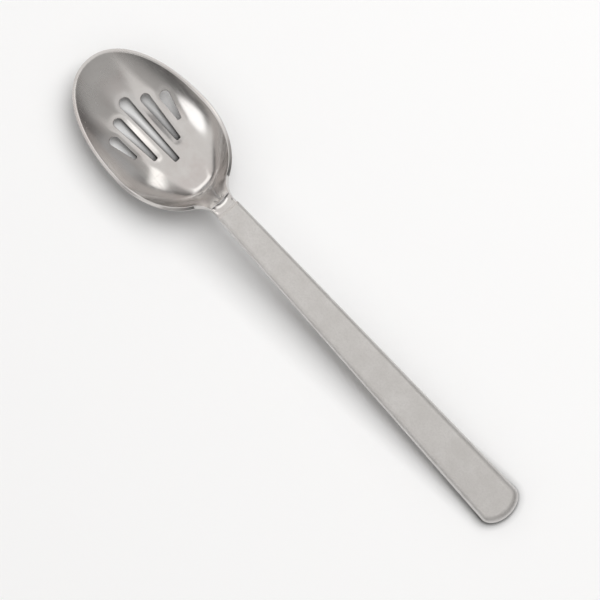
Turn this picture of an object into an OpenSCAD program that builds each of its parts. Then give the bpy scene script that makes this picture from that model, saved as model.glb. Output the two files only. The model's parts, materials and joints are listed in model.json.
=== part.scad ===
/* [Bowl] */
// Length of the bowl from its tip to its widest place
bowl_front = 54.5; // [46:0.5:66]
// Length from the widest place to where the rear oval of the rim would close
bowl_rear = 40; // [34:0.5:48]
// Full width of the bowl over its rim
bowl_w = 60.4; // [50:0.2:72]
// Depth inside the bowl, from the rim to the floor at the widest place
bowl_depth = 14; // [11:0.5:17]
// Thickness of the bowl's sheet
sheet_t = 1.8; // [1.2:0.1:2.4]
// Depth of the flat that is worn on the belly, where the bowl stands
belly_flat = 0.35; // [0.2:0.05:0.6]

/* [Slots] */
// Width of the middle slot at its round end
mid_slot_w = 5.9; // [4:0.1:7]
// Length of the middle slot
mid_slot_len = 41.4; // [30:0.2:44]
// How far the middle slot starts in front of the widest place
mid_slot_front = 30.4; // [24:0.2:34]
// Width of a side slot at its round end
side_slot_w = 5; // [4:0.1:6]
// Length of a side slot
side_slot_len = 28.4; // [20:0.2:32]
// How far a side slot starts in front of the widest place
side_slot_front = 24.8; // [18:0.2:28]
// Distance of a side slot's round end from the spoon's centre line
side_slot_off = 9.2; // [8:0.1:11]
// Width of an outer slot at its round end
outer_slot_w = 5.2; // [4:0.1:6]
// Length of an outer slot
outer_slot_len = 16; // [10:0.2:20]
// How far an outer slot starts in front of the widest place
outer_slot_front = 19; // [14:0.2:22]
// Distance of an outer slot's round end from the spoon's centre line
outer_slot_off = 17.2; // [16:0.1:19]
// Corner radius at the narrow end of every slot
slot_corner_r = 0.7; // [0.3:0.05:0.9]

/* [Neck] */
// Width of the neck strap behind the bowl
neck_w = 12.6; // [10:0.1:14]
// Thickness of the neck strap
neck_t = 3.4; // [2.6:0.1:4]
// Radius of the hollow on each side where the rim runs into the neck
neck_fillet_r = 12; // [8:0.5:16]
// Straight length of the neck strap behind those hollows
neck_straight = 1.6; // [1:0.1:6]
// How far behind the widest place the floor turns up into the ramp to the neck
ramp_start = 33; // [30:0.5:34]
// Height over which the floor rounds up into the ramp
ramp_soft = 3; // [2:0.5:5]
// Height over which the ramp rounds over into the strap
bend_h = 5.5; // [3.5:0.5:6.5]
// How far before the end of the hollows the rim meets the strap
rim_meet = 4.5; // [3:0.5:7]
// Height over which the rim rounds over into the strap
rim_soft = 1.5; // [0.5:0.5:2.5]
// How far the top corners of the strap are drawn in
strap_edge = 0.5; // [0.2:0.05:0.8]

/* [Tang] */
// Length of the tang inside the handle
tang_len = 34; // [20:1:60]
// Width of the tang
tang_w = 9.6; // [7:0.1:9.8]
// Thickness of the tang
tang_t = 2; // [1.4:0.1:2]

/* [Handle] */
// Length of the handle from its mouth to its end
handle_len = 200.5; // [150:0.5:240]
// Width of the handle at its mouth
mouth_w = 13.2; // [13:0.1:16]
// Width of the handle near its end
end_w = 22.6; // [18:0.1:28]
// Thickness of the handle at its mouth
mouth_t = 4.2; // [4.2:0.1:6]
// Thickness of the handle at its end
end_t = 7.6; // [6:0.1:9]
// Length of the half oval that rounds the handle's end
end_round = 7.6; // [5:0.1:14]
// Slope of the handle down to its end, in degrees
handle_slope = 5.6; // [4.5:0.1:7]
// Wall of the handle's two shells
shell_t = 0.9; // [0.6:0.05:0.9]
// Depth of the flat under the handle's end, where it stands
heel_flat = 0.3; // [0.2:0.05:0.4]

/* [Welds] */
// Width of the weld that joins the two shells
seam_w = 0.6; // [0.4:0.1:1]
// Length of the weld between the neck strap and the handle's mouth
neck_weld_len = 1.2; // [0.8:0.1:2]
// Play between the tang and the weld around it
tang_play = 0.05; // [0.05:0.05:0.1]

/* [Hidden] */
polished = [0.70, 0.68, 0.66];
satin = [0.78, 0.77, 0.75];
weld_grey = [0.66, 0.65, 0.64];
overrun = 1;

// Shapes of the bowl: roundness of the outline, of the floor along the spoon and of the floor across it
outline_power = 2.15;
front_power = 2.5;
across_power = 2.3;
rim_power = 6;

// Rise of the floor behind the widest place as a share of the depth
rear_rise_share = 0.8;

// Narrow ends of the slots as shares of the wide ends, and the lean of the outer rows as a share of their length
mid_narrow_share = 0.5;
side_narrow_share = 0.5;
outer_narrow_share = 0.42;
side_lean_share = 0.055;
outer_lean_share = 0.17;

// Steps of the meshes
front_steps = 20;
rear_steps = 13;
fillet_steps = 12;
strap_steps = 4;
across_steps = 32;
solve_steps = 30;
side_steps = 6;
end_steps = 14;
edge_steps = 6;

// Where the outline's rear oval lets go and the hollow of the neck begins, as an angle of the oval
function oval_turn(a, b, phi) = atan2(b * cos(phi), a * sin(phi));
function reach_at(a, b, r, phi) = b * sin(phi) - r * (1 - cos(oval_turn(a, b, phi)));
function let_go(a, b, r, target, low = 0, high = 90, left = solve_steps) =
    left == 0 ? (low + high) / 2
    : reach_at(a, b, r, (low + high) / 2) > target
        ? let_go(a, b, r, target, low, (low + high) / 2, left - 1)
        : let_go(a, b, r, target, (low + high) / 2, high, left - 1);

// Places along the spoon, measured from the bowl's widest place and then moved to the middle of the length
outer_let_go = let_go(bowl_rear, bowl_w / 2, neck_fillet_r, neck_w / 2);
hollow_end_rel = bowl_rear * cos(outer_let_go)
    + neck_fillet_r * sin(oval_turn(bowl_rear, bowl_w / 2, outer_let_go));
strap_end_rel = hollow_end_rel + neck_straight;
mouth_rel = strap_end_rel + neck_weld_len;
spoon_len = bowl_front + mouth_rel + handle_len;
tip_x = -spoon_len / 2;
wide_x = tip_x + bowl_front;
hollow_end_x = wide_x + hollow_end_rel;
strap_end_x = wide_x + strap_end_rel;
mouth_x = wide_x + mouth_rel;
end_x = spoon_len / 2;
meet_x = hollow_end_x - rim_meet;

// Handle: middle height and thickness at any place along it
function thick_at(x) = mouth_t + (end_t - mouth_t) * (x - mouth_x) / handle_len;
function mid_at(x) = end_t / 2 - heel_flat + (end_x - end_t / 2 - x) * tan(handle_slope);

// Bowl: height of the strap, the rim and the floor for the outside (inset 0) or inside (inset 1) face
function soft_min(a, b, h) = min(a, b) - pow(max(h - abs(a - b), 0), 2) / (4 * h);
function soft_positive(a, h) = max(a, 0) + pow(max(h - abs(a), 0), 2) / (4 * h);
function strap_at(x, inset) = mid_at(x) + (inset - 0.5) * neck_t;
rim_widest_h = bowl_depth + sheet_t - belly_flat;
widest_share = pow(bowl_front / (meet_x - tip_x), rim_power);
rim_tip_h = (rim_widest_h - strap_at(meet_x, 1) * widest_share) / (1 - widest_share);
function rim_line(x, inset) =
    rim_tip_h + (strap_at(meet_x, inset) - rim_tip_h) * pow((x - tip_x) / (meet_x - tip_x), rim_power);
function rim_at(x, inset) = soft_min(rim_line(x, inset), strap_at(x, inset), rim_soft);
function floor_h(inset) = inset * sheet_t - belly_flat;
function front_floor(x, inset) =
    rim_at(x, inset) - (rim_at(wide_x, inset) - floor_h(inset))
        * max(0, 1 - pow((wide_x - x) / (bowl_front - inset * sheet_t), front_power));

// Behind the widest place the floor carries on with the rim's slope there and curves up gently
function widest_slope(inset) =
    (strap_at(meet_x, inset) - rim_tip_h) * rim_power * widest_share / bowl_front;
function curved_floor(run, inset) =
    floor_h(inset) + widest_slope(inset) * run + rear_rise_share * bowl_depth * pow(run / hollow_end_rel, 2);

// Then it turns into the ramp, which rises so that its bend into the strap ends where the strap ends
ramp_rise_share =
    (strap_at(strap_end_x, 0) + bend_h - curved_floor(strap_end_rel, 0)) / (strap_end_rel - ramp_start);
ramp_t = (sheet_t + neck_t) / 2;
ramp_lead = (ramp_t * sqrt(1 + pow(ramp_rise_share, 2)) - sheet_t) / ramp_rise_share;
function rear_floor(x, inset) =
    let(run = x - wide_x)
    soft_min(
        curved_floor(run, inset)
            + soft_positive(ramp_rise_share * (run - ramp_start + inset * ramp_lead), ramp_soft),
        strap_at(x, inset), bend_h);
function floor_at(x, inset) = x < wide_x ? front_floor(x, inset) : rear_floor(x, inset);
function across_at(side) = max(0, 1 - pow(abs(side), across_power));
function height_at(x, side, inset) =
    rim_at(x, inset) - (rim_at(x, inset) - floor_at(x, inset)) * across_at(side);

// Outline of one face as [x, half width] at each station from the tip to the end of the strap
function front_stations(a, b) =
    [for (i = [1:front_steps])
        let(phi = 90 * i / front_steps)
        [wide_x - a * pow(max(0, cos(phi)), 2 / outline_power), b * pow(sin(phi), 2 / outline_power)]];
function rear_stations(a, b, last) =
    [for (i = [1:rear_steps])
        let(phi = 90 + (last - 90) * i / rear_steps)
        [wide_x + a * cos(phi), b * sin(phi)]];
function hollow_stations(start, turn, r, half_w) =
    [for (i = [1:fillet_steps])
        let(psi = turn * (1 - i / fillet_steps))
        [start + r * (sin(turn) - sin(psi)), half_w + r * (1 - cos(psi))]];
function strap_stations(start, half_w) =
    [for (i = [1:strap_steps]) [start + (strap_end_x - start) * i / strap_steps, half_w]];
function stations(inset) =
    let(a = bowl_rear - inset * sheet_t,
        b = bowl_w / 2 - inset * sheet_t,
        r = neck_fillet_r + inset * sheet_t,
        half_w = neck_w / 2 - inset * strap_edge,
        last = let_go(a, b, r, half_w),
        turn = oval_turn(a, b, last),
        start = wide_x + a * cos(last))
    concat(
        front_stations(bowl_front - inset * sheet_t, b),
        rear_stations(a, b, last),
        hollow_stations(start, turn, r, half_w),
        strap_stations(start + r * sin(turn), half_w));

// One face of the bowl and strap: rows of points across the spoon, from one edge to the other
function face_points(inset) =
    [for (s = stations(inset))
        for (j = [0:across_steps])
            let(side = sin(-90 + 180 * j / across_steps))
            [s[0], s[1] * side, height_at(s[0], side, inset)]];
function tip_point(inset) = let(x = tip_x + inset * sheet_t) [x, 0, rim_at(x, inset)];

row = across_steps + 1;
rows = front_steps + rear_steps + fillet_steps + strap_steps;
face_count = rows * row;
out_tip = 2 * face_count;
in_tip = out_tip + 1;

// Triangles between two rows, seen from below for the outside face and from above for the inside face
function quad(a, b, c, d) = [[a, b, c], [a, c, d]];
function flat_list(lists) = [for (l = lists) each l];
function out_at(i, j) = i * row + j;
function in_at(i, j) = face_count + i * row + j;
bowl_faces = concat(
    flat_list([for (i = [0:rows - 2], j = [0:across_steps - 1])
        quad(out_at(i, j), out_at(i + 1, j), out_at(i + 1, j + 1), out_at(i, j + 1))]),
    flat_list([for (i = [0:rows - 2], j = [0:across_steps - 1])
        quad(in_at(i, j), in_at(i, j + 1), in_at(i + 1, j + 1), in_at(i + 1, j))]),
    [for (j = [0:across_steps - 1]) [out_tip, out_at(0, j), out_at(0, j + 1)]],
    [for (j = [0:across_steps - 1]) [in_tip, in_at(0, j + 1), in_at(0, j)]],
    flat_list([for (i = [0:rows - 2])
        quad(out_at(i, 0), in_at(i, 0), in_at(i + 1, 0), out_at(i + 1, 0))]),
    flat_list([for (i = [0:rows - 2])
        quad(out_at(i, across_steps), out_at(i + 1, across_steps), in_at(i + 1, across_steps),
            in_at(i, across_steps))]),
    quad(out_tip, in_tip, in_at(0, 0), out_at(0, 0)),
    quad(out_tip, out_at(0, across_steps), in_at(0, across_steps), in_tip),
    flat_list([for (j = [0:across_steps - 1])
        quad(out_at(rows - 1, j), in_at(rows - 1, j), in_at(rows - 1, j + 1), out_at(rows - 1, j + 1))]));

// A slot in plan: round at its front end, tapering to a narrow end with small corner radii
module slot(front, len, wide_w, narrow_share, off, lean) {
    narrow_w = wide_w * narrow_share;
    translate([wide_x - front, off, -overrun])
        rotate([0, 0, lean])
            linear_extrude(height = rim_widest_h + overrun)
                hull() {
                    translate([wide_w / 2, 0])
                        circle(d = wide_w, $fn = 48);
                    for (side = [-1, 1])
                        translate([len - slot_corner_r, side * (narrow_w / 2 - slot_corner_r)])
                            circle(r = slot_corner_r, $fn = 24);
                }
}

// Everything below the surface that the spoon stands on
module below_table() {
    translate([tip_x - overrun, -bowl_w, -rim_widest_h])
        cube([spoon_len + 2 * overrun, 2 * bowl_w, rim_widest_h]);
}

// The tang carries on from the strap, in line with the handle's middle
module tang(play = 0) {
    root = neck_t / 2;
    translate([strap_end_x - root, 0, mid_at(strap_end_x - root)])
        rotate([0, handle_slope, 0])
            translate([0, -tang_w / 2 - play, -tang_t / 2 - play])
                cube([root + tang_len, tang_w + 2 * play, tang_t + 2 * play]);
}

module slotted_bowl() {
    color(polished)
        difference() {
            union() {
                polyhedron(
                    points = concat(face_points(0), face_points(1), [tip_point(0), tip_point(1)]),
                    faces = bowl_faces);
                tang();
            }
            slot(mid_slot_front, mid_slot_len, mid_slot_w, mid_narrow_share, 0, 0);
            for (side = [-1, 1]) {
                slot(side_slot_front, side_slot_len, side_slot_w, side_narrow_share, side * side_slot_off,
                    -side * atan(side_lean_share));
                slot(outer_slot_front, outer_slot_len, outer_slot_w, outer_narrow_share, side * outer_slot_off,
                    -side * atan(outer_lean_share));
            }
            below_table();
        }
}

// The handle in plan, drawn in by an inset: down one side, round the half oval and back up the other side
round_x = end_x - end_round;
function half_w_at(x) = mouth_w / 2 + (end_w - mouth_w) / 2 * (x - mouth_x) / (round_x - mouth_x);
function plan_point(step, inset) =
    step <= side_steps
        ? let(x = mouth_x + (round_x - mouth_x) * step / side_steps) [x, inset - half_w_at(x)]
        : let(turn = 90 * (step - side_steps) / end_steps)
            [round_x + (end_round - inset) * sin(turn), -(end_w / 2 - inset) * cos(turn)];
plan_count = 2 * (side_steps + end_steps) + 1;
function mirrored(p) = [p[0], -p[1]];
function plan_at(k, inset) =
    k <= side_steps + end_steps ? plan_point(k, inset) : mirrored(plan_point(plan_count - 1 - k, inset));

// Height above the handle's middle and inset of the round edge at a share of the way up, at wall depth deep
function edge_r(k, deep) = thick_at(plan_at(k, 0)[0]) / 2 - deep;
function edge_h(k, level, deep) =
    seam_w / 2 + (edge_r(k, deep) - seam_w / 2) * sin(90 * level / edge_steps);
function edge_inset(r, h) = r - sqrt(max(0, r * r - h * h));
function ring(level, deep, up) =
    [for (k = [0:plan_count - 1])
        let(r = edge_r(k, deep),
            h = edge_h(k, level, deep),
            p = plan_at(k, deep + edge_inset(r, h)))
        [p[0], p[1], mid_at(p[0]) + up * h]];

levels = edge_steps + 1;
function skin_at(level, k) = level * plan_count + k;
function wall_at(level, k) = (levels + level) * plan_count + k;
last_k = plan_count - 1;
half_k = side_steps + end_steps;
shell_faces = concat(
    flat_list([for (i = [0:edge_steps - 1], k = [0:last_k - 1])
        quad(skin_at(i, k), skin_at(i + 1, k), skin_at(i + 1, k + 1), skin_at(i, k + 1))]),
    flat_list([for (i = [0:edge_steps - 1], k = [0:last_k - 1])
        quad(wall_at(i, k), wall_at(i, k + 1), wall_at(i + 1, k + 1), wall_at(i + 1, k))]),
    flat_list([for (k = [0:half_k - 2])
        quad(skin_at(edge_steps, k), skin_at(edge_steps, last_k - k), skin_at(edge_steps, last_k - k - 1),
            skin_at(edge_steps, k + 1))]),
    flat_list([for (k = [0:half_k - 2])
        quad(wall_at(edge_steps, k), wall_at(edge_steps, k + 1), wall_at(edge_steps, last_k - k - 1),
            wall_at(edge_steps, last_k - k))]),
    [[skin_at(edge_steps, half_k - 1), skin_at(edge_steps, half_k + 1), skin_at(edge_steps, half_k)]],
    [[wall_at(edge_steps, half_k - 1), wall_at(edge_steps, half_k), wall_at(edge_steps, half_k + 1)]],
    flat_list([for (k = [0:last_k - 1])
        quad(skin_at(0, k), skin_at(0, k + 1), wall_at(0, k + 1), wall_at(0, k))]),
    flat_list([for (i = [0:edge_steps - 1])
        quad(skin_at(i, 0), wall_at(i, 0), wall_at(i + 1, 0), skin_at(i + 1, 0))]),
    flat_list([for (i = [0:edge_steps - 1])
        quad(skin_at(i, last_k), skin_at(i + 1, last_k), wall_at(i + 1, last_k), wall_at(i, last_k))]),
    quad(skin_at(edge_steps, 0), wall_at(edge_steps, 0), wall_at(edge_steps, last_k),
        skin_at(edge_steps, last_k)));

// One half of the hollow handle: up is 1 for the top half and -1 for the bottom half
module half_shell(up) {
    rings = concat(
        [for (level = [0:edge_steps]) ring(level, 0, up)],
        [for (level = [0:edge_steps]) ring(level, shell_t, up)]);
    polyhedron(
        points = flat_list(rings),
        faces = up > 0 ? shell_faces : [for (f = shell_faces) [f[2], f[1], f[0]]]);
}

module handle_top_shell() {
    color(satin)
        half_shell(1);
}

module handle_bottom_shell() {
    color(satin)
        difference() {
            half_shell(-1);
            below_table();
        }
}

// The weld along the side of the handle: a strip as deep as the wall, between the edges of the two shells
function seam_loop(deep, h) =
    [for (k = [0:plan_count - 1])
        let(r = edge_r(k, deep), p = plan_at(k, deep + edge_inset(r, abs(h))))
        [p[0], p[1], mid_at(p[0]) + h]];
seam_corners = 6;
function seam_index(corner, k) = (corner % seam_corners) * plan_count + k;
seam_faces = concat(
    flat_list([for (c = [0:seam_corners - 1], k = [0:last_k - 1])
        quad(seam_index(c, k), seam_index(c + 1, k), seam_index(c + 1, k + 1), seam_index(c, k + 1))]),
    [[for (c = [seam_corners - 1:-1:0]) seam_index(c, 0)]],
    [[for (c = [0:seam_corners - 1]) seam_index(c, last_k)]]);

module handle_seam_weld() {
    color(weld_grey)
        polyhedron(
            points = flat_list([
                seam_loop(0, -seam_w / 2), seam_loop(0, 0), seam_loop(0, seam_w / 2),
                seam_loop(shell_t, seam_w / 2), seam_loop(shell_t, 0), seam_loop(shell_t, -seam_w / 2)]),
            faces = seam_faces);
}

// A thin slice across the spoon with round corners, for the two ends of the neck weld
module weld_slice(x, w, t, corner) {
    slice_t = neck_weld_len / 20;
    translate([x, 0, mid_at(x)])
        rotate([90, 0, 90])
            linear_extrude(height = slice_t)
                hull()
                    for (y = [-1, 1], z = [-1, 1])
                        translate([y * (w / 2 - corner), z * (t / 2 - corner)])
                            circle(r = corner, $fn = 32);
}

module neck_weld() {
    slice_t = neck_weld_len / 20;
    color(weld_grey)
        difference() {
            hull() {
                weld_slice(strap_end_x, neck_w, neck_t, strap_edge);
                weld_slice(mouth_x - slice_t, mouth_w, mouth_t, mouth_t / 2 - strap_edge);
            }
            tang(tang_play);
        }
}

slotted_bowl();
handle_top_shell();
handle_bottom_shell();
handle_seam_weld();
neck_weld();
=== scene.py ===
import json
import math

import bpy
import bmesh
import numpy as np
from mathutils import Matrix, Vector
from mathutils.kdtree import KDTree

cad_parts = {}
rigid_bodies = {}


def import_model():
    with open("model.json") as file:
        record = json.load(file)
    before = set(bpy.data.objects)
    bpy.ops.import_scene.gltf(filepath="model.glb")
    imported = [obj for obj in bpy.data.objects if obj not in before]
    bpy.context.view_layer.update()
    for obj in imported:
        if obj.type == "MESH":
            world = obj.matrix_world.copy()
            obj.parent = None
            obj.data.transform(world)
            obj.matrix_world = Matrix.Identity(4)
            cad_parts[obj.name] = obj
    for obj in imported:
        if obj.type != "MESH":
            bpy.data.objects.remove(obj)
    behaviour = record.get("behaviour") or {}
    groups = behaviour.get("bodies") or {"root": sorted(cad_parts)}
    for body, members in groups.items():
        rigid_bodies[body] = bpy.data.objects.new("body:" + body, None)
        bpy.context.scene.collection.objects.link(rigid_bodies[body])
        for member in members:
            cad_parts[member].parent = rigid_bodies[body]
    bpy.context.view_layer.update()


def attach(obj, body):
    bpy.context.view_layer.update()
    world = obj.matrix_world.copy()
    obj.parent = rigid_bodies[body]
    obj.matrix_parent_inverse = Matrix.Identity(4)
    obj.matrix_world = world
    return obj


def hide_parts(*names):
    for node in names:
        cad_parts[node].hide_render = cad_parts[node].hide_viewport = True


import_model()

# Sizes of the spoon in millimetres, the same as in the CAD part
MM = 0.001
BOWL_FRONT = 54.5
BOWL_REAR = 40.0
BOWL_W = 60.4
BOWL_DEPTH = 14.0
SHEET_T = 1.8
BELLY_FLAT = 0.35
NECK_W = 12.6
NECK_T = 3.4
NECK_FILLET_R = 12.0
NECK_STRAIGHT = 1.6
RAMP_START = 33.0
RAMP_SOFT = 3.0
BEND_H = 5.5
RIM_MEET = 4.5
RIM_SOFT = 1.5
STRAP_EDGE = 0.5
TANG_LEN = 34.0
TANG_W = 9.6
TANG_T = 2.0
HANDLE_LEN = 200.5
MOUTH_W = 13.2
END_W = 22.6
MOUTH_T = 4.2
END_T = 7.6
END_ROUND = 7.6
HANDLE_SLOPE = math.radians(5.6)
SHELL_T = 0.9
HEEL_FLAT = 0.3
SEAM_W = 0.6
NECK_WELD_LEN = 1.2
OUTLINE_POWER = 2.15
FRONT_POWER = 2.5
ACROSS_POWER = 2.3
RIM_POWER = 6.0
REAR_RISE_SHARE = 0.8

# Slots: start in front of the widest place, length, wide width, narrow share, distance off centre, lean
SLOTS = [
    (30.4, 41.4, 5.9, 0.5, 0.0, 0.0),
    (24.8, 28.4, 5.0, 0.5, 9.2, 0.055),
    (19.0, 16.0, 5.2, 0.42, 17.2, 0.17),
]
SLOT_CORNER_R = 0.7

# Small roundings that only the looks have, and the lift that punching the slots left around them
RIM_ROUND = 0.5
SLOT_LIFT = 0.16
SLOT_LIFT_REACH = 1.8
SLOT_ROUND = 0.32

# How finely the meshes are drawn, and the angles in degrees above which an edge stays sharp
FRONT_N = 96
REAR_N = 64
HOLLOW_N = 48
STRAP_N = 8
FACE_STEPS = 64
FACE_CROWDING = 1.6
ROUND_STEPS = 12
SECTION_POINTS = 260
SLOT_END_STEPS = 32
SLOT_CORNER_STEPS = 6
SLOT_SIDE_STEPS = 56
SIDE_N = 40
END_N = 40
EDGE_N = 14
WELD_STEPS = 10
WELD_CORNER_STEPS = 10
BOWL_SHARP = 14
HANDLE_SHARP = 40
FACE_WEIGHT = 60

# Distances in metres within which points are merged
MERGE_RIM = 2e-6
MERGE_BOWL = 1e-7
MERGE_FINE = 1e-8

# Limits of the rounded rim: the least slant that widens it, and its largest share of the sheet
LEAST_COSINE = 0.6
ROUND_LIMIT_SHARE = 0.45

# The slot cutters stand out of the sheet and flare by these angles, and the neck weld clears the tang
CUTTER_REACH = 0.5
FLARE_TURNS = [math.radians(angle) for angle in range(25, 91, 13)]
WELD_PLAY = 0.1
WELD_OVERRUN = 1


# Outline of the bowl
def oval_turn(a, b, phi):
    return math.atan2(b * math.cos(phi), a * math.sin(phi))


def let_go(a, b, r, target):
    low = 0.0
    high = math.pi / 2
    for _ in range(40):
        phi = (low + high) / 2
        if b * math.sin(phi) - r * (1 - math.cos(oval_turn(a, b, phi))) > target:
            high = phi
        else:
            low = phi
    return (low + high) / 2


def outline_sizes(inset):
    a = BOWL_REAR - inset * SHEET_T
    b = BOWL_W / 2 - inset * SHEET_T
    r = NECK_FILLET_R + inset * SHEET_T
    half = NECK_W / 2 - inset * STRAP_EDGE
    phi = let_go(a, b, r, half)
    return a, b, r, half, phi, oval_turn(a, b, phi)


OUTER = outline_sizes(0)
HOLLOW_END = BOWL_REAR * math.cos(OUTER[4]) + NECK_FILLET_R * math.sin(OUTER[5])
STRAP_END = HOLLOW_END + NECK_STRAIGHT
MOUTH = STRAP_END + NECK_WELD_LEN
SPOON_LEN = BOWL_FRONT + MOUTH + HANDLE_LEN
TIP_X = -SPOON_LEN / 2
WIDE_X = TIP_X + BOWL_FRONT
STRAP_END_X = WIDE_X + STRAP_END
MOUTH_X = WIDE_X + MOUTH
END_X = SPOON_LEN / 2
MEET_X = WIDE_X + HOLLOW_END - RIM_MEET


def mid_at(x):
    return END_T / 2 - HEEL_FLAT + (END_X - END_T / 2 - x) * math.tan(HANDLE_SLOPE)


def thick_at(x):
    return MOUTH_T + (END_T - MOUTH_T) * (x - MOUTH_X) / HANDLE_LEN


def strap_at(x, inset):
    return mid_at(x) + (inset - 0.5) * NECK_T


RIM_WIDEST_H = BOWL_DEPTH + SHEET_T - BELLY_FLAT
WIDEST_SHARE = (BOWL_FRONT / (MEET_X - TIP_X)) ** RIM_POWER
RIM_TIP_H = (RIM_WIDEST_H - strap_at(MEET_X, 1) * WIDEST_SHARE) / (1 - WIDEST_SHARE)


def widest_slope(inset):
    return (strap_at(MEET_X, inset) - RIM_TIP_H) * RIM_POWER * WIDEST_SHARE / BOWL_FRONT


def curved_floor(run, inset):
    rise = REAR_RISE_SHARE * BOWL_DEPTH * (run / HOLLOW_END) ** 2
    return inset * SHEET_T - BELLY_FLAT + widest_slope(inset) * run + rise


# The ramp rises so that its bend into the strap ends where the strap ends
RAMP_RISE = strap_at(STRAP_END_X, 0) + BEND_H - curved_floor(STRAP_END, 0)
RAMP_RISE_SHARE = RAMP_RISE / (STRAP_END - RAMP_START)
RAMP_T = (SHEET_T + NECK_T) / 2
RAMP_LEAD = (RAMP_T * math.sqrt(1 + RAMP_RISE_SHARE ** 2) - SHEET_T) / RAMP_RISE_SHARE


def half_width(x, inset):
    a, b, r, half, phi, turn = outline_sizes(inset)
    ahead = np.clip((WIDE_X - x) / (BOWL_FRONT - inset * SHEET_T), 0, 1)
    front = b * (1 - ahead ** OUTLINE_POWER) ** (1 / OUTLINE_POWER)
    rear = b * np.sqrt(np.clip(1 - ((x - WIDE_X) / a) ** 2, 0, 1))
    start = WIDE_X + a * math.cos(phi)
    lean = np.clip(math.sin(turn) - (x - start) / r, 0, 1)
    hollow = half + r * (1 - np.sqrt(1 - lean ** 2))
    return np.where(x < WIDE_X, front, np.where(x < start, rear, hollow))


def soft_min(a, b, h):
    return np.minimum(a, b) - np.maximum(h - np.abs(a - b), 0) ** 2 / (4 * h)


def soft_positive(a, h):
    return np.maximum(a, 0) + np.maximum(h - np.abs(a), 0) ** 2 / (4 * h)


def rim_at(x, inset):
    along = np.clip((x - TIP_X) / (MEET_X - TIP_X), 0, None)
    line = RIM_TIP_H + (strap_at(MEET_X, inset) - RIM_TIP_H) * along ** RIM_POWER
    return soft_min(line, strap_at(x, inset), RIM_SOFT)


def floor_at(x, inset):
    """Height of the bowl's lowest line, which turns up into the ramp and over into the strap behind."""
    floor_h = inset * SHEET_T - BELLY_FLAT
    ahead = np.clip((WIDE_X - x) / (BOWL_FRONT - inset * SHEET_T), 0, 1)
    front = rim_at(x, inset) - (rim_at(WIDE_X, inset) - floor_h) * (1 - ahead ** FRONT_POWER)
    run = x - WIDE_X
    ramp = soft_positive(RAMP_RISE_SHARE * (run - RAMP_START + inset * RAMP_LEAD), RAMP_SOFT)
    rear = soft_min(curved_floor(run, inset) + ramp, strap_at(x, inset), BEND_H)
    return np.where(x < WIDE_X, front, rear)


def height(x, side, inset):
    """Height of the outside (inset 0) or inside (inset 1) face of the bowl at a share of its half width."""
    rim = rim_at(x, inset)
    return rim - (rim - floor_at(x, inset)) * np.clip(1 - np.abs(side) ** ACROSS_POWER, 0, 1)


def height_over(x, y, inset):
    share = np.clip(np.abs(y) / np.maximum(half_width(x, inset), 1e-6), 0, 1)
    return height(x, share, inset)


# Mesh helpers
def new_object(name, points, faces):
    mesh = bpy.data.meshes.new(name)
    mesh.from_pydata([tuple(float(c) * MM for c in p) for p in points], [], faces)
    mesh.validate()
    mesh.update()
    obj = bpy.data.objects.new(name, mesh)
    bpy.context.scene.collection.objects.link(obj)
    mesh.shade_smooth()
    return obj


def apply_modifier(obj, modifier):
    bpy.context.view_layer.objects.active = obj
    for other in bpy.context.view_layer.objects:
        other.select_set(other == obj)
    bpy.ops.object.modifier_apply(modifier=modifier.name)


def merge_and_face_out(obj, distance):
    work = bmesh.new()
    work.from_mesh(obj.data)
    bmesh.ops.remove_doubles(work, verts=work.verts, dist=distance)
    bmesh.ops.dissolve_degenerate(work, edges=work.edges, dist=distance)
    bmesh.ops.recalc_face_normals(work, faces=work.faces)
    work.to_mesh(obj.data)
    work.free()


def boolean(obj, cutter, operation="DIFFERENCE"):
    modifier = obj.modifiers.new("cut", "BOOLEAN")
    modifier.operation = operation
    modifier.solver = "EXACT"
    modifier.object = cutter
    apply_modifier(obj, modifier)
    bpy.data.objects.remove(cutter, do_unlink=True)


def soften(obj, angle_deg):
    """Smooth shading that keeps real edges and gives flat and wide faces the say over narrow ones."""
    obj.data.shade_smooth()
    obj.data.set_sharp_from_angle(angle=math.radians(angle_deg))
    weighted = obj.modifiers.new("weighted", "WEIGHTED_NORMAL")
    weighted.mode = "FACE_AREA"
    weighted.weight = FACE_WEIGHT
    weighted.keep_sharp = True
    apply_modifier(obj, weighted)


# How far in front of the widest place the foot of the tip's section lies
FRONT_FOOT = 24.0


def stations(inset):
    """Places of the bowl's outline, each with the foot on the centre line that its section runs out from."""
    a, b, r, half, phi_end, turn = outline_sizes(inset)
    length = BOWL_FRONT - inset * SHEET_T
    start = WIDE_X + a * math.cos(phi_end)
    places = []
    for i in range(FRONT_N + 1):
        phi = math.pi / 2 * i / FRONT_N
        back = length * max(0.0, math.cos(phi)) ** (2 / OUTLINE_POWER)
        foot = WIDE_X - FRONT_FOOT * max(0.0, math.cos(phi)) ** (2 / OUTLINE_POWER)
        places.append((WIDE_X - back, b * math.sin(phi) ** (2 / OUTLINE_POWER), foot))
    for i in range(1, REAR_N + 1):
        phi = math.pi / 2 + (phi_end - math.pi / 2) * i / REAR_N
        foot = WIDE_X + (a * a - b * b) / a * math.cos(phi)
        places.append((WIDE_X + a * math.cos(phi), b * math.sin(phi), foot))
    centre = start + r * math.sin(turn)
    for i in range(1, HOLLOW_N + 1):
        psi = turn * (1 - i / HOLLOW_N)
        foot = centre - (half + r) * math.tan(psi)
        places.append((centre - r * math.sin(psi), half + r * (1 - math.cos(psi)), foot))
    for i in range(1, STRAP_N + 1):
        x = centre + (STRAP_END_X - centre) * i / STRAP_N
        places.append((x, half, x))
    return places


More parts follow.
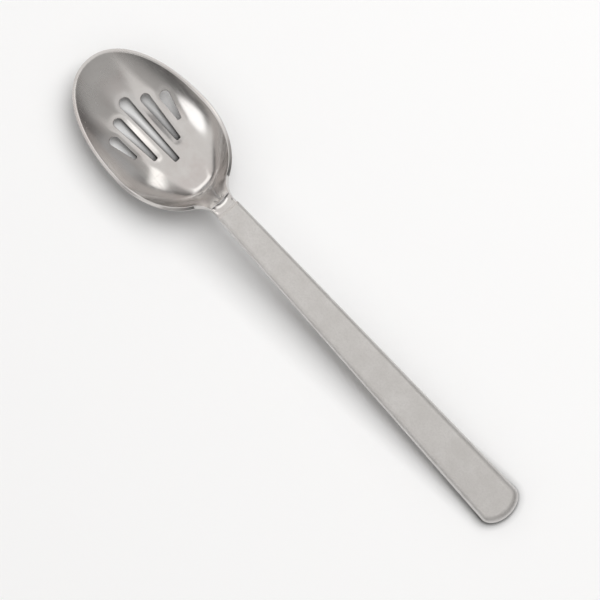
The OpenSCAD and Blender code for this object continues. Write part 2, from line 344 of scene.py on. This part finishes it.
def face_line(place, inset, steps):
    """Points of one section on one face, from the foot on the centre line out to the outline."""
    x_out, w_out, foot = place
    share = np.sin(np.linspace(0, math.pi / 2, steps))
    x = foot + share * (x_out - foot)
    y = share * w_out
    side = np.clip(y / np.maximum(half_width(x, inset), 1e-6), 0, 1)
    side[-1] = 1.0 if w_out > 1e-6 else 0.0
    z = height(x, side, inset)
    return np.stack([x, y, z], axis=1)


def cut_back(line, distance):
    """The line without its last stretch of the given length, and the point at which it was cut."""
    lengths = np.linalg.norm(np.diff(line, axis=0), axis=1)
    run = np.concatenate([[0], np.cumsum(lengths)])
    total = run[-1]
    keep = run <= total - distance
    kept = line[keep]
    end = np.array([np.interp(total - distance, run, line[:, c]) for c in range(3)])
    return kept, end


def resample(line, shares):
    lengths = np.linalg.norm(np.diff(line, axis=0), axis=1)
    run = np.concatenate([[0], np.cumsum(lengths)])
    return np.stack([np.interp(shares * run[-1], run, line[:, c]) for c in range(3)], axis=1)


def rounded(start, corner, end, steps):
    t = np.linspace(0, 1, steps)[:, None]
    return (1 - t) ** 2 * start + 2 * t * (1 - t) * corner + t ** 2 * end


def section(outer_place, inner_place, spread, round_r):
    """One closed half section: out along the outside face, over the rounded rim, back along the inside."""
    outer = face_line(outer_place, 0, SECTION_POINTS)
    inner = face_line(inner_place, 1, SECTION_POINTS)
    outer_kept, outer_end = cut_back(outer, round_r * spread)
    inner_kept, inner_end = cut_back(inner, round_r * spread)
    outer_corner = outer[-1]
    inner_corner = inner[-1]
    gap = inner_corner - outer_corner
    width = np.linalg.norm(gap)
    step = gap / width * min(round_r * spread, ROUND_LIMIT_SHARE * width)
    shares = 1 - (1 - np.linspace(0, 1, FACE_STEPS)) ** FACE_CROWDING
    out_line = resample(np.vstack([outer_kept, outer_end]), shares)
    in_line = resample(np.vstack([inner_kept, inner_end]), shares)
    over_out = rounded(outer_end, outer_corner, outer_corner + step, ROUND_STEPS)
    over_in = rounded(inner_corner - step, inner_corner, inner_end, ROUND_STEPS)
    return np.vstack([out_line, over_out[1:], over_in, in_line[::-1][1:]])


def bowl_shell():
    outer_places = stations(0)
    inner_places = stations(1)
    rows = []
    for k in range(len(outer_places)):
        outer_place = outer_places[k]
        ray = np.array([outer_place[0] - outer_place[2], outer_place[1]])
        near = outer_places[min(k + 1, len(outer_places) - 1)]
        before = outer_places[max(k - 1, 0)]
        tangent = np.array([near[0] - before[0], near[1] - before[1]])
        crossed = abs(ray[0] * tangent[1] - ray[1] * tangent[0])
        cosine = crossed / (np.linalg.norm(ray) * np.linalg.norm(tangent))
        inner_place = (inner_places[k][0], inner_places[k][1], outer_place[2])
        rows.append(section(outer_place, inner_place, 1 / max(cosine, LEAST_COSINE), RIM_ROUND))
    rows = np.array(rows)
    rows[..., 2] = np.maximum(rows[..., 2], 0.0)
    count, per_row = rows.shape[0], rows.shape[1]
    points = []
    faces = []
    for sign in (1, -1):
        base = len(points)
        for row in rows:
            for p in row:
                points.append((p[0], sign * p[1], p[2]))
        for k in range(count - 1):
            for j in range(per_row - 1):
                a = base + k * per_row + j
                quad = (a, a + 1, a + per_row + 1, a + per_row)
                faces.append(quad if sign > 0 else quad[::-1])
        end = [base + (count - 1) * per_row + j for j in range(per_row)]
        faces.append(tuple(end) if sign < 0 else tuple(end[::-1]))
    obj = new_object("bowl", points, faces)
    merge_and_face_out(obj, MERGE_RIM)
    return obj


def slot_loop(slot):
    """Plan of a slot as points with outward normals, its round front end at the origin."""
    length, wide, share = slot[1], slot[2], slot[3]
    big = wide / 2
    small = SLOT_CORNER_R
    reach = length - small - big
    half = wide * share / 2 - small
    turn_off = math.atan2(half, reach) + math.acos((big - small) / math.hypot(reach, half))
    loop = []

    def arc(cx, cy, r, start, end, steps):
        for i in range(steps + 1):
            turn = start + (end - start) * i / steps
            loop.append((cx + r * math.cos(turn), cy + r * math.sin(turn), math.cos(turn), math.sin(turn)))

    def straight(to_x, to_y):
        from_x, from_y, nx, ny = loop[-1]
        for i in range(1, SLOT_SIDE_STEPS):
            t = i / SLOT_SIDE_STEPS
            loop.append((from_x + (to_x - from_x) * t, from_y + (to_y - from_y) * t, nx, ny))

    arc(big, 0, big, turn_off, 2 * math.pi - turn_off, SLOT_END_STEPS)
    straight(length - small + small * math.cos(-turn_off), -half + small * math.sin(-turn_off))
    arc(length - small, -half, small, -turn_off, 0, SLOT_CORNER_STEPS)
    arc(length - small, half, small, 0, turn_off, SLOT_CORNER_STEPS)
    straight(big + big * math.cos(turn_off), big * math.sin(turn_off))
    return np.array(loop)


def placed_slot(slot, side):
    """Plan of a slot where it lies in the bowl, as points and their outward normals."""
    front, _, _, _, off, lean = slot
    loop = slot_loop(slot)
    turn = -side * math.atan(lean)
    spin = np.array([[math.cos(turn), -math.sin(turn)], [math.sin(turn), math.cos(turn)]])
    return loop[:, :2] @ spin.T + np.array([WIDE_X - front, side * off]), loop[:, 2:] @ spin.T


def all_slots():
    return [(slot, side) for slot in SLOTS for side in ((1,) if slot[4] == 0 else (1, -1))]


def slot_cutter(slot, side):
    """A plug that fills one slot and flares at both faces of the sheet, to leave rounded cut edges."""
    place, normal = placed_slot(slot, side)
    c = SLOT_ROUND
    widest = c * (1 - math.sin(FLARE_TURNS[0])) + CUTTER_REACH
    rings = [(widest, -CUTTER_REACH, 0)]
    rings += [(c * (1 - math.sin(a)), c * (1 - math.cos(a)), 0) for a in FLARE_TURNS]
    rings += [(c * (1 - math.sin(a)), -c * (1 - math.cos(a)), 1) for a in FLARE_TURNS[::-1]]
    rings.append((widest, CUTTER_REACH, 1))
    points = []
    faces = []
    n = len(place)
    for out, lift, inset in rings:
        spot = place + normal * out
        z = height_over(spot[:, 0], spot[:, 1], inset)
        if inset == 0:
            z = np.maximum(z, 0.0)
        points += [(x, y, h + lift) for (x, y), h in zip(spot, z)]
    for i in range(len(rings) - 1):
        for k in range(n):
            m = (k + 1) % n
            faces.append((i * n + k, i * n + m, (i + 1) * n + m, (i + 1) * n + k))
    centre = len(points)
    low_z = min(p[2] for p in points[:n])
    high_z = max(p[2] for p in points[-n:])
    middle = place.mean(axis=0)
    points.append((middle[0], middle[1], low_z - RIM_WIDEST_H))
    points.append((middle[0], middle[1], high_z))
    top = (len(rings) - 1) * n
    for k in range(n):
        m = (k + 1) % n
        faces.append((m, k, centre))
        faces.append((top + k, top + m, centre + 1))
    obj = new_object("slot_cutter", points, faces)
    merge_and_face_out(obj, MERGE_FINE)
    return obj


def box_along_handle(name, start_x, end_x, width, thick):
    points = []
    for x in (start_x, end_x):
        for y in (-width / 2, width / 2):
            for z in (-thick / 2, thick / 2):
                points.append((x, y, mid_at(x) + z))
    faces = [(0, 1, 3, 2), (4, 6, 7, 5), (0, 4, 5, 1), (2, 3, 7, 6), (0, 2, 6, 4), (1, 5, 7, 3)]
    obj = new_object(name, points, faces)
    merge_and_face_out(obj, MERGE_FINE)
    return obj


def lift_slot_edges(obj):
    """Raises the sheet very slightly round every slot, so that the webs between are a little hollow."""
    outlines = np.vstack([placed_slot(slot, side)[0] for slot, side in all_slots()])
    tree = KDTree(len(outlines))
    for index, (x, y) in enumerate(outlines):
        tree.insert((x, y, 0.0), index)
    tree.balance()
    for vertex in obj.data.vertices:
        away = tree.find((vertex.co.x / MM, vertex.co.y / MM, 0.0))[2]
        vertex.co.z += SLOT_LIFT * MM * math.exp(-(away / SLOT_LIFT_REACH) ** 2)
    obj.data.update()


def build_bowl():
    bowl = bowl_shell()
    for slot, side in all_slots():
        boolean(bowl, slot_cutter(slot, side))
    lift_slot_edges(bowl)
    tang = box_along_handle("tang", STRAP_END_X - NECK_T / 2, STRAP_END_X + TANG_LEN, TANG_W, TANG_T)
    boolean(bowl, tang, "UNION")
    bowl.name = "slotted_bowl_piece"
    merge_and_face_out(bowl, MERGE_BOWL)
    soften(bowl, BOWL_SHARP)
    return bowl


# Handle, drawn as in the CAD part with more and finer steps
ROUND_X = END_X - END_ROUND


def plan_line(inset):
    """Half of the handle's plan from the mouth to its end, drawn in by an inset for every point."""
    points = []
    for i in range(SIDE_N + 1):
        x = MOUTH_X + (ROUND_X - MOUTH_X) * i / SIDE_N
        half = MOUTH_W / 2 + (END_W - MOUTH_W) / 2 * (x - MOUTH_X) / (ROUND_X - MOUTH_X)
        points.append((x, half - inset[i]))
    for i in range(1, END_N + 1):
        turn = math.pi / 2 * i / END_N
        j = SIDE_N + i
        x = ROUND_X + (END_ROUND - inset[j]) * math.sin(turn)
        points.append((x, (END_W / 2 - inset[j]) * math.cos(turn)))
    return np.array(points)


def edge_radius(deep):
    x = plan_line(np.zeros(SIDE_N + END_N + 1))[:, 0]
    return thick_at(x) / 2 - deep


def ring(level, deep, up, start_h):
    r = edge_radius(deep)
    h = start_h + (r - start_h) * math.sin(math.pi / 2 * level / EDGE_N)
    inset = deep + r - np.sqrt(np.maximum(0, r * r - h * h))
    line = plan_line(inset)
    full = np.vstack([line * [1, -1], line[:-1][::-1]])
    rise = np.concatenate([h, h[:-1][::-1]])
    return np.column_stack([full, mid_at(full[:, 0]) + up * rise])


def build_shell(name, up):
    skin = [ring(level, 0, up, SEAM_W / 2) for level in range(EDGE_N + 1)]
    wall = [ring(level, SHELL_T, up, SEAM_W / 2) for level in range(EDGE_N + 1)]
    count = len(skin[0])
    last = count - 1
    half = SIDE_N + END_N
    points = np.vstack(skin + wall)
    points[:, 2] = np.maximum(points[:, 2], 0.0)
    levels = EDGE_N + 1
    faces = []
    for base in (0, levels):
        for i in range(EDGE_N):
            for k in range(last):
                a = (base + i) * count + k
                faces.append((a, a + count, a + count + 1, a + 1))
        top = (base + EDGE_N) * count
        for k in range(half - 1):
            faces.append((top + k, top + last - k, top + last - k - 1, top + k + 1))
        faces.append((top + half - 1, top + half + 1, top + half))
    for k in range(last):
        faces.append((k, k + 1, levels * count + k + 1, levels * count + k))
    for i in range(EDGE_N):
        for k in (0, last):
            a = i * count + k
            b = (levels + i) * count + k
            faces.append((a, b, b + count, a + count))
    a = EDGE_N * count
    b = (levels + EDGE_N) * count
    faces.append((a, b, b + last, a + last))
    obj = new_object(name, points, faces)
    merge_and_face_out(obj, MERGE_FINE)
    soften(obj, HANDLE_SHARP)
    return obj


def build_seam():
    """The weld along the sides and round the end: a strip as deep as the wall, flush with the shells."""
    loops = []
    for deep, shares in ((0, (-1, -0.6, 0, 0.6, 1)), (SHELL_T, (1, 0, -1))):
        r = edge_radius(deep)
        for share in shares:
            h = share * SEAM_W / 2
            inset = deep + r - np.sqrt(np.maximum(0, r * r - h * h))
            line = plan_line(inset)
            full = np.vstack([line * [1, -1], line[:-1][::-1]])
            loops.append(np.column_stack([full, mid_at(full[:, 0]) + h]))
    count = len(loops[0])
    around = len(loops)
    faces = []
    for c in range(around):
        for k in range(count - 1):
            a = c * count + k
            b = ((c + 1) % around) * count + k
            faces.append((a, b, b + 1, a + 1))
    faces.append(tuple(c * count for c in range(around)))
    faces.append(tuple(c * count + count - 1 for c in range(around)[::-1]))
    obj = new_object("seam_weld_piece", np.vstack(loops), faces)
    merge_and_face_out(obj, MERGE_FINE)
    soften(obj, HANDLE_SHARP)
    return obj


def round_slice(width, thick, corner):
    loop = []
    for cx, cy, start in ((1, 1, 0), (-1, 1, 90), (-1, -1, 180), (1, -1, 270)):
        for i in range(WELD_CORNER_STEPS + 1):
            turn = math.radians(start + 90 * i / WELD_CORNER_STEPS)
            loop.append((cx * (width / 2 - corner) + corner * math.cos(turn),
                         cy * (thick / 2 - corner) + corner * math.sin(turn)))
    return np.array(loop)


def build_neck_weld():
    loops = []
    first = round_slice(NECK_W, NECK_T, STRAP_EDGE)
    last = round_slice(MOUTH_W, MOUTH_T, MOUTH_T / 2 - STRAP_EDGE)
    for i in range(WELD_STEPS + 1):
        t = i / WELD_STEPS
        loop = first * (1 - t) + last * t
        x = STRAP_END_X + NECK_WELD_LEN * t
        loops.append(np.column_stack([np.full(len(loop), x), loop[:, 0], mid_at(x) + loop[:, 1]]))
    count = len(loops[0])
    faces = []
    for i in range(WELD_STEPS):
        for k in range(count):
            m = (k + 1) % count
            faces.append((i * count + k, i * count + m, (i + 1) * count + m, (i + 1) * count + k))
    faces.append(tuple(range(count)))
    faces.append(tuple(WELD_STEPS * count + k for k in range(count))[::-1])
    obj = new_object("neck_weld_piece", np.vstack(loops), faces)
    merge_and_face_out(obj, MERGE_FINE)
    start_x = STRAP_END_X - WELD_OVERRUN
    end_x = MOUTH_X + WELD_OVERRUN
    boolean(obj, box_along_handle("play", start_x, end_x, TANG_W + WELD_PLAY, TANG_T + WELD_PLAY))
    soften(obj, HANDLE_SHARP)
    return obj


# Materials: the bowl is rougher towards its tip, where it is worn
WORN_FROM_X = WIDE_X - 18
WORN_ROUGHNESS = 0.16


def new_material(name):
    material = bpy.data.materials.new(name)
    material.use_nodes = True
    nodes = material.node_tree.nodes
    shader = nodes["Principled BSDF"]
    return material, nodes, material.node_tree.links, shader


def noise(nodes, links, vector, scale, detail, rough=0.5):
    node = nodes.new("ShaderNodeTexNoise")
    node.inputs["Scale"].default_value = scale
    node.inputs["Detail"].default_value = detail
    node.inputs["Roughness"].default_value = rough
    links.new(vector, node.inputs["Vector"])
    return node.outputs["Fac"]


def stretch(nodes, links, vector, scale, turn=0.0):
    node = nodes.new("ShaderNodeMapping")
    node.inputs["Scale"].default_value = scale
    node.inputs["Rotation"].default_value = (0, 0, turn)
    links.new(vector, node.inputs["Vector"])
    return node.outputs["Vector"]


def span(nodes, links, value, low, high, out_low, out_high):
    node = nodes.new("ShaderNodeMapRange")
    node.inputs["From Min"].default_value = low
    node.inputs["From Max"].default_value = high
    node.inputs["To Min"].default_value = out_low
    node.inputs["To Max"].default_value = out_high
    links.new(value, node.inputs["Value"])
    return node.outputs["Result"]


def blend_colours(nodes, links, value, first, second):
    node = nodes.new("ShaderNodeMix")
    node.data_type = "RGBA"
    node.inputs["A"].default_value = (*first, 1)
    node.inputs["B"].default_value = (*second, 1)
    links.new(value, node.inputs["Factor"])
    return node.outputs["Result"]


def blend_socket(nodes, links, value, below, colour):
    """Lays a colour over the colour of another node by a value from 0 to 1."""
    node = nodes.new("ShaderNodeMix")
    node.data_type = "RGBA"
    links.new(below, node.inputs["A"])
    node.inputs["B"].default_value = (*colour, 1)
    links.new(value, node.inputs["Factor"])
    return node.outputs["Result"]


def maths(nodes, links, kind, first, second):
    node = nodes.new("ShaderNodeMath")
    node.operation = kind
    links.new(first, node.inputs[0])
    if isinstance(second, float):
        node.inputs[1].default_value = second
    else:
        links.new(second, node.inputs[1])
    return node.outputs["Value"]


def bump(nodes, links, height_value, strength, distance, before=None):
    node = nodes.new("ShaderNodeBump")
    node.inputs["Strength"].default_value = strength
    node.inputs["Distance"].default_value = distance
    links.new(height_value, node.inputs["Height"])
    if before is not None:
        links.new(before, node.inputs["Normal"])
    return node.outputs["Normal"]


def polished_material():
    material, nodes, links, shader = new_material("polished_bowl_steel")
    place = nodes.new("ShaderNodeTexCoord").outputs["Object"]
    cloud = noise(nodes, links, place, 60, 3)
    stain = noise(nodes, links, place, 34, 6, 0.62)
    fine = noise(nodes, links, place, 1100, 4, 0.6)
    lines = noise(nodes, links, stretch(nodes, links, place, (90, 1400, 400), 0.25), 1.0, 3, 0.6)
    scuffs = noise(nodes, links, stretch(nodes, links, place, (1600, 70, 400), -0.5), 1.0, 2, 0.5)
    shader.inputs["Metallic"].default_value = 1.0
    clean = blend_colours(nodes, links, span(nodes, links, cloud, 0.35, 0.65, 0, 1),
                          (0.595, 0.578, 0.563), (0.650, 0.636, 0.622))
    stain_share = span(nodes, links, stain, 0.50, 0.68, 0, 0.85)
    stained = blend_socket(nodes, links, stain_share, clean, (0.560, 0.520, 0.505))
    fine_share = span(nodes, links, fine, 0.55, 0.75, 0, 0.35)
    tone = blend_socket(nodes, links, fine_share, stained, (0.520, 0.505, 0.495))
    links.new(tone, shader.inputs["Base Color"])
    both = maths(nodes, links, "ADD", span(nodes, links, cloud, 0.3, 0.7, 0.0, 0.06),
                 span(nodes, links, lines, 0.45, 0.8, 0.11, 0.19))
    along = nodes.new("ShaderNodeSeparateXYZ")
    links.new(place, along.inputs["Vector"])
    worn = span(nodes, links, along.outputs["X"], WORN_FROM_X * MM, TIP_X * MM, 0.0, WORN_ROUGHNESS)
    hazy = maths(nodes, links, "ADD", both, worn)
    links.new(maths(nodes, links, "ADD", hazy, span(nodes, links, scuffs, 0.62, 0.8, 0.0, 0.10)),
              shader.inputs["Roughness"])
    first = bump(nodes, links, lines, 0.10, 0.00004)
    links.new(bump(nodes, links, fine, 0.08, 0.00004, first), shader.inputs["Normal"])
    return material


def satin_material():
    material, nodes, links, shader = new_material("satin_handle_steel")
    place = nodes.new("ShaderNodeTexCoord").outputs["Object"]
    grain = noise(nodes, links, stretch(nodes, links, place, (60, 4200, 1800)), 1.0, 4, 0.65)
    broad = noise(nodes, links, stretch(nodes, links, place, (14, 260, 120)), 1.0, 2, 0.5)
    speck = noise(nodes, links, place, 950, 3, 0.7)
    cloud = noise(nodes, links, place, 110, 4, 0.6)
    shader.inputs["Metallic"].default_value = 1.0
    clouded = blend_colours(nodes, links, span(nodes, links, cloud, 0.35, 0.65, 0, 1),
                            (0.640, 0.624, 0.606), (0.698, 0.683, 0.668))
    speck_share = span(nodes, links, speck, 0.42, 0.70, 0, 0.55)
    tone = blend_socket(nodes, links, speck_share, clouded, (0.578, 0.563, 0.549))
    links.new(tone, shader.inputs["Base Color"])
    links.new(maths(nodes, links, "ADD", span(nodes, links, broad, 0.3, 0.7, 0.38, 0.44),
                    span(nodes, links, grain, 0.3, 0.7, 0.0, 0.08)), shader.inputs["Roughness"])
    first = bump(nodes, links, grain, 0.22, 0.00005)
    links.new(bump(nodes, links, speck, 0.25, 0.00006, first), shader.inputs["Normal"])
    return material


def weld_material():
    material, nodes, links, shader = new_material("ground_weld_steel")
    place = nodes.new("ShaderNodeTexCoord").outputs["Object"]
    grain = noise(nodes, links, stretch(nodes, links, place, (2600, 160, 900)), 1.0, 3, 0.6)
    cloud = noise(nodes, links, place, 220, 3)
    shader.inputs["Metallic"].default_value = 1.0
    tone = blend_colours(nodes, links, span(nodes, links, cloud, 0.3, 0.7, 0, 1),
                         (0.560, 0.540, 0.520), (0.640, 0.620, 0.600))
    links.new(tone, shader.inputs["Base Color"])
    links.new(span(nodes, links, grain, 0.3, 0.75, 0.22, 0.34), shader.inputs["Roughness"])
    links.new(bump(nodes, links, grain, 0.2, 0.00005), shader.inputs["Normal"])
    return material


# Pieces
def take_over(obj, node, material):
    obj.data.materials.clear()
    obj.data.materials.append(material)
    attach(obj, "root")
    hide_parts(node)


POLISHED = polished_material()
SATIN = satin_material()
WELD = weld_material()
take_over(build_bowl(), "slotted_bowl", POLISHED)
take_over(build_shell("top_shell_piece", 1), "handle_top_shell", SATIN)
take_over(build_shell("bottom_shell_piece", -1), "handle_bottom_shell", SATIN)
take_over(build_seam(), "handle_seam_weld", WELD)
take_over(build_neck_weld(), "neck_weld", WELD)

# Camera: nearly straight down, leaning a few degrees, with the spoon lying across the picture
CAMERA_LEAN = math.radians(5.0)
CAMERA_TURN = math.radians(-42.892)
CAMERA_FAR = 1.1
FOCAL_PIXELS = 2249.0
PICTURE_PIXELS = 600
SENSOR_WIDTH = 36
CLIP_START = 0.01
CAMERA_TARGET = Vector((0.00606, -0.00355, 0.0120))
back = Vector((math.sin(CAMERA_LEAN) * math.cos(CAMERA_TURN), math.sin(CAMERA_LEAN) * math.sin(CAMERA_TURN),
               math.cos(CAMERA_LEAN)))
right = (-back).cross(Vector((0, 0, 1))).normalized()
up = right.cross(-back)
camera_data = bpy.data.cameras.new("camera")
camera_data.sensor_width = SENSOR_WIDTH
camera_data.lens = FOCAL_PIXELS / PICTURE_PIXELS * SENSOR_WIDTH
camera_data.clip_start = CLIP_START
camera = bpy.data.objects.new("camera", camera_data)
camera.matrix_world = Matrix((
    (right.x, up.x, back.x, CAMERA_TARGET.x + back.x * CAMERA_FAR),
    (right.y, up.y, back.y, CAMERA_TARGET.y + back.y * CAMERA_FAR),
    (right.z, up.z, back.z, CAMERA_TARGET.z + back.z * CAMERA_FAR),
    (0, 0, 0, 1)))
bpy.context.scene.collection.objects.link(camera)
bpy.context.scene.camera = camera


# Light
def direction(azimuth, polar):
    """A direction as it looks in the picture, by an azimuth from its right edge and an angle from above."""
    a = math.radians(azimuth)
    p = math.radians(polar)
    flat_right = Vector((right.x, right.y, 0)).normalized()
    flat_up = Vector((-flat_right.y, flat_right.x, 0))
    across = flat_right * (math.cos(a) * math.sin(p))
    upward = flat_up * (math.sin(a) * math.sin(p))
    return across + upward + Vector((0, 0, math.cos(p)))


# The lamp that draws the shadow: where it stands, its size in metres and its power in watts
KEY_AZIMUTH = 45
KEY_POLAR = 27
KEY_FAR = 3.2
KEY_SIZE = 2.67
KEY_POWER = 84


def shadow_key():
    """An area lamp that faces the spoon and isn't seen in the metal."""
    data = bpy.data.lights.new("shadow_key", "AREA")
    data.shape = "RECTANGLE"
    data.size = KEY_SIZE
    data.size_y = KEY_SIZE
    data.energy = KEY_POWER
    obj = bpy.data.objects.new("shadow_key", data)
    toward = direction(KEY_AZIMUTH, KEY_POLAR)
    obj.location = toward * KEY_FAR + CAMERA_TARGET
    obj.rotation_euler = toward.to_track_quat("Z", "Y").to_euler()
    obj.visible_glossy = False
    bpy.context.scene.collection.objects.link(obj)


shadow_key()

# World: soft patches of light around the spoon, over a dim horizon
HORIZON = (0.12, 0.12, 0.12)
WORLD_ON_PAPER = 0.45
world = bpy.data.worlds.new("studio")
world.use_nodes = True
world_nodes = world.node_tree.nodes
world_links = world.node_tree.links
sky = world_nodes["Background"]
toward_sky = world_nodes.new("ShaderNodeTexCoord").outputs["Generated"]


def patch(azimuth, polar, inner, outer):
    """One inside an angle around a direction, falling to nothing at a wider angle."""
    dot = world_nodes.new("ShaderNodeVectorMath")
    dot.operation = "DOT_PRODUCT"
    dot.inputs[1].default_value = direction(azimuth, polar)
    world_links.new(toward_sky, dot.inputs[0])
    fall = world_nodes.new("ShaderNodeMapRange")
    fall.interpolation_type = "SMOOTHSTEP"
    fall.inputs["From Min"].default_value = math.cos(math.radians(outer))
    fall.inputs["From Max"].default_value = math.cos(math.radians(inner))
    world_links.new(dot.outputs["Value"], fall.inputs["Value"])
    return fall.outputs["Result"]


def window(azimuth, polar, half_across, half_along, edge):
    """One inside a rectangle seen around a direction, with soft edges."""
    centre = direction(azimuth, polar)
    across = Vector((0, 0, 1)).cross(centre).normalized()
    along = centre.cross(across)
    inside = None
    for axis, half in ((across, half_across), (along, half_along)):
        dot = world_nodes.new("ShaderNodeVectorMath")
        dot.operation = "DOT_PRODUCT"
        dot.inputs[1].default_value = axis
        world_links.new(toward_sky, dot.inputs[0])
        size = world_nodes.new("ShaderNodeMath")
        size.operation = "ABSOLUTE"
        world_links.new(dot.outputs["Value"], size.inputs[0])
        fall = world_nodes.new("ShaderNodeMapRange")
        fall.interpolation_type = "SMOOTHSTEP"
        fall.inputs["From Min"].default_value = math.sin(math.radians(half + edge))
        fall.inputs["From Max"].default_value = math.sin(math.radians(half - edge))
        world_links.new(size.outputs["Value"], fall.inputs["Value"])
        if inside is None:
            inside = fall.outputs["Result"]
        else:
            inside = maths(world_nodes, world_links, "MULTIPLY", inside, fall.outputs["Result"])
    return maths(world_nodes, world_links, "MULTIPLY", inside, patch(azimuth, polar, 85, 90))


def over(below, colour, share):
    """Lays a colour over what is below by a share from 0 to 1."""
    node = world_nodes.new("ShaderNodeMix")
    node.data_type = "RGBA"
    node.inputs["B"].default_value = (*colour, 1)
    if below is None:
        node.inputs["A"].default_value = (*HORIZON, 1)
    else:
        world_links.new(below, node.inputs["A"])
    world_links.new(share, node.inputs["Factor"])
    return node.outputs["Result"]


# What the world shows, each over the one before: a colour, a shape, and its direction and angles
LAYERS = [
    ((0.50, 0.49, 0.48), patch, (0, 0, 60, 88)),
    ((0.66, 0.65, 0.64), patch, (-43, 24, 5, 20)),
    ((0.93, 0.91, 0.895), window, (150, 27, 48, 41, 5)),
    ((0.85, 0.84, 0.83), patch, (-43, 12, 3, 16)),
    ((0.5, 0.5, 0.5), patch, (290, 84, 8, 20)),
    ((0.5, 0.5, 0.5), patch, (50, 79, 6, 15)),
    ((1.8, 1.8, 1.8), patch, (207, 70, 8, 13)),
    ((0.32, 0.32, 0.32), patch, (200, 14, 5, 12)),
    ((1.7, 1.68, 1.65), patch, (52, 19, 8, 14)),
    ((1.8, 1.78, 1.74), window, (73, 62, 5, 17, 2)),
    ((1.6, 1.59, 1.57), window, (133, 61, 26, 10, 3)),
    ((0.5, 0.5, 0.5), patch, (137, 84, 8, 16)),
]
light = None
for colour, shape, place in LAYERS:
    light = over(light, colour, shape(*place))
world_links.new(light, sky.inputs["Color"])
# The paper takes less of the world's light than the metal shows, so that the key lamp draws its shadow
ray = world_nodes.new("ShaderNodeLightPath")
level = world_nodes.new("ShaderNodeMapRange")
level.inputs["To Min"].default_value = 1.0
level.inputs["To Max"].default_value = WORLD_ON_PAPER
world_links.new(ray.outputs["Is Diffuse Ray"], level.inputs["Value"])
world_links.new(level.outputs["Result"], sky.inputs["Strength"])
bpy.context.scene.world = world

# Floor: pale paper, white to the eye and to the metal, with painted shade that darkens its colour close to
# the spoon
FLOOR_COLOUR = (0.86, 0.86, 0.86)
FLOOR_SEEN = (0.97, 0.97, 0.97)
FLOOR_HALF = 1.5
FLOOR_DROP = 0.0002
FLOOR_ROUGHNESS = 0.9
FLOOR_SPECULAR = 0.1
SHADE_SAMPLES = 16
# Reach in metres and strength of each painted shade: at the spoon's foot, around it, and under the slots
SHADES = [(0.005, 0.6), (0.03, 0.2), (0.0026, 1.9)]
h = FLOOR_HALF
floor_mesh = bpy.data.meshes.new("floor")
floor_mesh.from_pydata([(-h, -h, 0), (h, -h, 0), (h, h, 0), (-h, h, 0)], [], [(0, 1, 2, 3)])
floor = bpy.data.objects.new("floor", floor_mesh)
bpy.context.scene.collection.objects.link(floor)
floor.location = (0, 0, -FLOOR_DROP)
floor_material, floor_nodes, floor_links, floor_shader = new_material("floor_white")
floor_shader.inputs["Roughness"].default_value = FLOOR_ROUGHNESS
floor_shader.inputs["Specular IOR Level"].default_value = FLOOR_SPECULAR


def painted_shade_within(reach, power):
    """Painted shade: one on the open floor and less where something is nearer than the reach, to darken the
    paper's colour.
    """
    node = floor_nodes.new("ShaderNodeAmbientOcclusion")
    node.samples = SHADE_SAMPLES
    node.inputs["Distance"].default_value = reach
    return maths(floor_nodes, floor_links, "POWER", node.outputs["AO"], power)


painted_floor_shade = painted_shade_within(*SHADES[0])
for reach, power in SHADES[1:]:
    painted_floor_shade = maths(floor_nodes, floor_links, "MULTIPLY", painted_floor_shade, painted_shade_within(reach, power))
# The paper's colour, as the camera and the metal see it, is darkened by the painted shade near the spoon and
# under the slots
paper_with_painted_shade = blend_colours(floor_nodes, floor_links, painted_floor_shade, (0.0, 0.0, 0.0), FLOOR_SEEN)
path = floor_nodes.new("ShaderNodeLightPath")
mirrored = maths(floor_nodes, floor_links, "MAXIMUM", path.outputs["Is Glossy Ray"],
                 path.outputs["Is Transmission Ray"])
seen = maths(floor_nodes, floor_links, "MAXIMUM", path.outputs["Is Camera Ray"], mirrored)
paper = floor_nodes.new("ShaderNodeMix")
paper.data_type = "RGBA"
paper.inputs["A"].default_value = (*FLOOR_COLOUR, 1)
floor_links.new(paper_with_painted_shade, paper.inputs["B"])
floor_links.new(seen, paper.inputs["Factor"])
floor_links.new(paper.outputs["Result"], floor_shader.inputs["Base Color"])
floor.data.materials.append(floor_material)

view = bpy.context.scene.view_settings
view.view_transform = "Standard"
